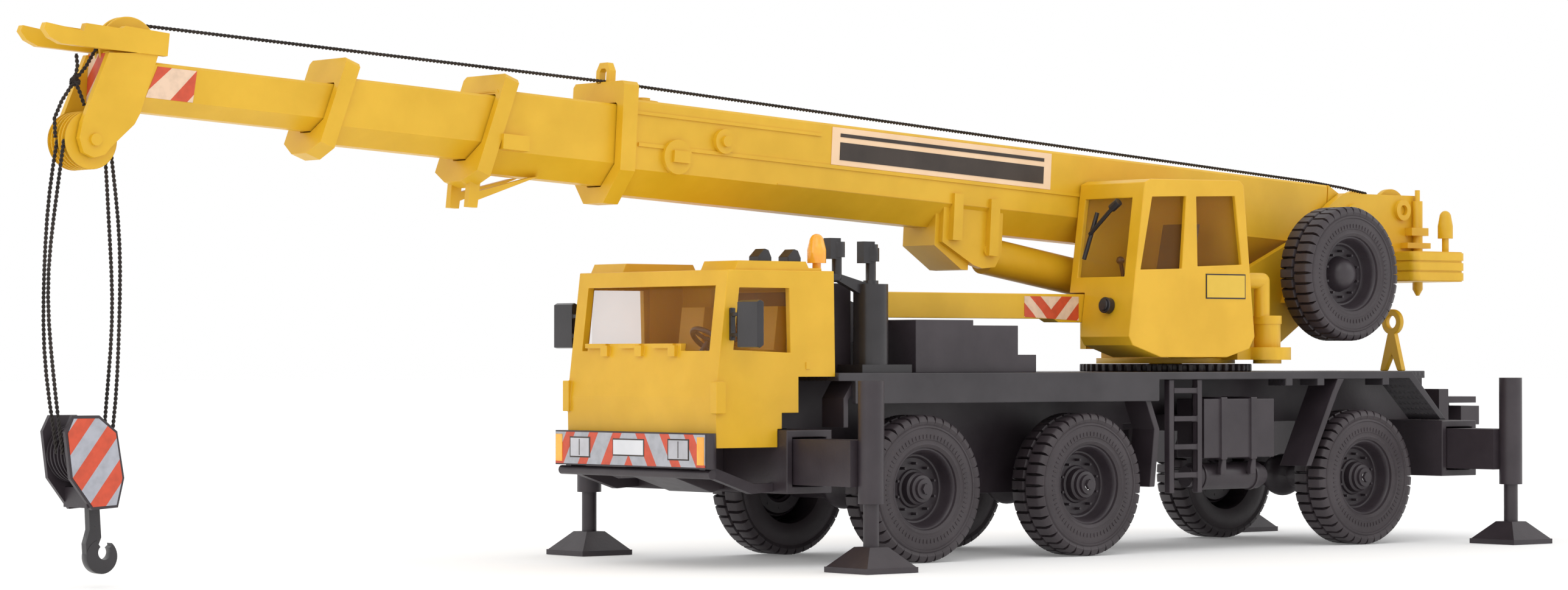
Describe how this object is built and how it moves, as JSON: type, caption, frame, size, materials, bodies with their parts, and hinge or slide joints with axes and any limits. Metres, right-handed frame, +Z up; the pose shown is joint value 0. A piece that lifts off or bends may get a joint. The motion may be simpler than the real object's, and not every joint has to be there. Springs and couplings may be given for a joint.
{
  "type": "toy crane truck",
  "caption": "Toy mobile crane on a three-axle truck with a slewing cab, telescopic boom, outriggers, winch, hook block and spare wheel.",
  "frame": {"origin": "middle of the model's footprint box, on the ground the wheels stand on", "axes": "+X towards the truck's front and the boom's head, +Y to the truck's left, +Z up"},
  "size_m": [0.2042, 0.0576, 0.0567],
  "materials": {
    "crane_yellow": "moulded, satin",
    "chassis_black": "moulded, satin",
    "tyre": "moulded, matt",
    "pane": "clear",
    "beacon_amber": "glossy",
    "rope": "twisted thread"
  },
  "bodies": {
    "carrier": {"chassis_frame": "chassis_black", "deck": "chassis_black", "mudguards": "chassis_black", "front_bumper": "chassis_black", "cab_shell": "crane_yellow", "cab_glazing": "pane", "cab_interior": "chassis_black", "steering_wheel": "chassis_black", "cab_mirrors": "chassis_black", "cab_beacon": "beacon_amber", "roof_horns": "chassis_black", "engine_cover": "chassis_black", "air_filter": "chassis_black", "side_boxes": "chassis_black", "air_tanks": "chassis_black", "ladders": "chassis_black", "outrigger_boxes": "chassis_black", "hook_stand": "crane_yellow", "ring_gear": "chassis_black"},
    "axle_1": {"wheelset_1": "chassis_black", "tyres_1": "tyre"},
    "axle_2": {"wheelset_2": "chassis_black", "tyres_2": "tyre"},
    "axle_3": {"wheelset_3": "chassis_black", "tyres_3": "tyre"},
    "outrigger_fl": {"outrigger_beam_fl": "chassis_black"},
    "jack_fl": {"jack_leg_fl": "chassis_black"},
    "outrigger_fr": {"outrigger_beam_fr": "chassis_black"},
    "jack_fr": {"jack_leg_fr": "chassis_black"},
    "outrigger_rl": {"outrigger_beam_rl": "chassis_black"},
    "jack_rl": {"jack_leg_rl": "chassis_black"},
    "outrigger_rr": {"outrigger_beam_rr": "chassis_black"},
    "jack_rr": {"jack_leg_rr": "chassis_black"},
    "superstructure": {"slew_frame": "crane_yellow", "front_arm": "crane_yellow", "crane_cab_shell": "crane_yellow", "crane_cab_glazing": "pane", "crane_cab_interior": "chassis_black", "slew_motor": "crane_yellow", "spare_tyre": "tyre", "spare_rim": "chassis_black", "counterweight": "crane_yellow", "rear_beacon": "crane_yellow"},
    "winch": {"winch_drum": "crane_yellow"},
    "boom_1": {"boom_base": "crane_yellow", "rope_base": "rope"},
    "boom_2": {"boom_section_2": "crane_yellow", "rope_run_2": "rope"},
    "boom_3": {"boom_section_3": "crane_yellow", "rope_run_3": "rope"},
    "boom_4": {"boom_section_4": "crane_yellow", "rope_run_4": "rope"},
    "lift_rod": {"luff_rod": "crane_yellow"},
    "lift_barrel": {"luff_barrel": "crane_yellow"},
    "sheave_upper": {"head_sheave_upper": "crane_yellow"},
    "sheave_lower": {"head_sheave_lower": "crane_yellow"},
    "hook_block": {"block_frame": "chassis_black", "rope_falls": "rope"},
    "block_wheel": {"block_sheave": "chassis_black"},
    "hook": {"crane_hook": "chassis_black"}
  },
  "joints": [
    {"name": "axle_1_spin", "type": "hinge", "parent": "carrier", "child": "axle_1", "pos_m": [-0.00102, 0, 0.0082], "axis": [0, 1, 0], "continuous": true},
    {"name": "axle_2_spin", "type": "hinge", "parent": "carrier", "child": "axle_2", "pos_m": [-0.02592, 0, 0.0082], "axis": [0, 1, 0], "continuous": true},
    {"name": "axle_3_spin", "type": "hinge", "parent": "carrier", "child": "axle_3", "pos_m": [-0.07222, 0, 0.0082], "axis": [0, 1, 0], "continuous": true},
    {"name": "outrigger_fl_slide", "type": "slide", "parent": "carrier", "child": "outrigger_fl", "axis": [0, 1, 0], "range_m": [-0.0082, 0.001]},
    {"name": "jack_fl_slide", "type": "slide", "parent": "outrigger_fl", "child": "jack_fl", "axis": [0, 0, 1], "range_m": [0, 0.004]},
    {"name": "outrigger_fr_slide", "type": "slide", "parent": "carrier", "child": "outrigger_fr", "axis": [0, -1, 0], "range_m": [-0.0082, 0.001]},
    {"name": "jack_fr_slide", "type": "slide", "parent": "outrigger_fr", "child": "jack_fr", "axis": [0, 0, 1], "range_m": [0, 0.004]},
    {"name": "outrigger_rl_slide", "type": "slide", "parent": "carrier", "child": "outrigger_rl", "axis": [0, 1, 0], "range_m": [-0.0062, 0.001]},
    {"name": "jack_rl_slide", "type": "slide", "parent": "outrigger_rl", "child": "jack_rl", "axis": [0, 0, 1], "range_m": [0, 0.004]},
    {"name": "outrigger_rr_slide", "type": "slide", "parent": "carrier", "child": "outrigger_rr", "axis": [0, -1, 0], "range_m": [-0.0062, 0.001]},
    {"name": "jack_rr_slide", "type": "slide", "parent": "outrigger_rr", "child": "jack_rr", "axis": [0, 0, 1], "range_m": [0, 0.004]},
    {"name": "slewing", "type": "hinge", "parent": "carrier", "child": "superstructure", "pos_m": [-0.05192, 0, 0.022], "axis": [0, 0, 1], "continuous": true},
    {"name": "winch_spin", "type": "hinge", "parent": "superstructure", "child": "winch", "pos_m": [-0.08962, -0.001, 0.0414], "axis": [0, 1, 0], "continuous": true},
    {"name": "boom_luff", "type": "hinge", "parent": "superstructure", "child": "boom_1", "pos_m": [-0.08092, -0.001, 0.04], "axis": [0, -1, 0], "range_deg": [-1, 60], "deforming": ["rope_base"]},
    {"name": "boom_2_slide", "type": "slide", "parent": "boom_1", "child": "boom_2", "axis": [0.9982, 0, 0.0593], "range_m": [-0.009, 0.06], "deforming": ["rope_run_2"]},
    {"name": "boom_3_slide", "type": "slide", "parent": "boom_2", "child": "boom_3", "axis": [0.9982, 0, 0.0593], "range_m": [-0.016, 0.06], "deforming": ["rope_run_3"]},
    {"name": "boom_4_slide", "type": "slide", "parent": "boom_3", "child": "boom_4", "axis": [0.9982, 0, 0.0593], "range_m": [-0.018, 0.06], "deforming": ["rope_run_4"]},
    {"name": "lift_rod_pivot", "type": "hinge", "parent": "boom_1", "child": "lift_rod", "pos_m": [-0.02053, -0.001, 0.03517], "axis": [0, -1, 0], "range_deg": [-0.5, 13.5]},
    {"name": "lift_barrel_slide", "type": "slide", "parent": "lift_rod", "child": "lift_barrel", "axis": [-0.9872, 0, -0.1593], "range_m": [-0.0006, 0.022]},
    {"name": "upper_sheave_spin", "type": "hinge", "parent": "boom_4", "child": "sheave_upper", "pos_m": [0.09149, -0.001, 0.0534], "axis": [0, 1, 0], "continuous": true},
    {"name": "lower_sheave_spin", "type": "hinge", "parent": "boom_4", "child": "sheave_lower", "pos_m": [0.09634, -0.001, 0.0442], "axis": [0, 1, 0], "continuous": true},
    {"name": "hook_block_swing", "type": "hinge", "parent": "boom_4", "child": "hook_block", "pos_m": [0.09634, -0.001, 0.0442], "axis": [0, 1, 0], "range_deg": [-25, 25], "deforming": ["rope_falls"]},
    {"name": "block_sheave_spin", "type": "hinge", "parent": "hook_block", "child": "block_wheel", "pos_m": [0.09634, -0.001, 0.0133], "axis": [0, 1, 0], "continuous": true},
    {"name": "hook_swivel", "type": "hinge", "parent": "hook_block", "child": "hook", "pos_m": [0.09514, -0.001, 0.008], "axis": [0, 0, 1], "continuous": true}
  ],
  "couplings": [
    {"joint": "lift_rod_pivot", "follows": "boom_luff", "ratio": 0.22},
    {"joint": "lift_barrel_slide", "follows": "boom_luff", "m_per_rad": 0.0207}
  ]
}
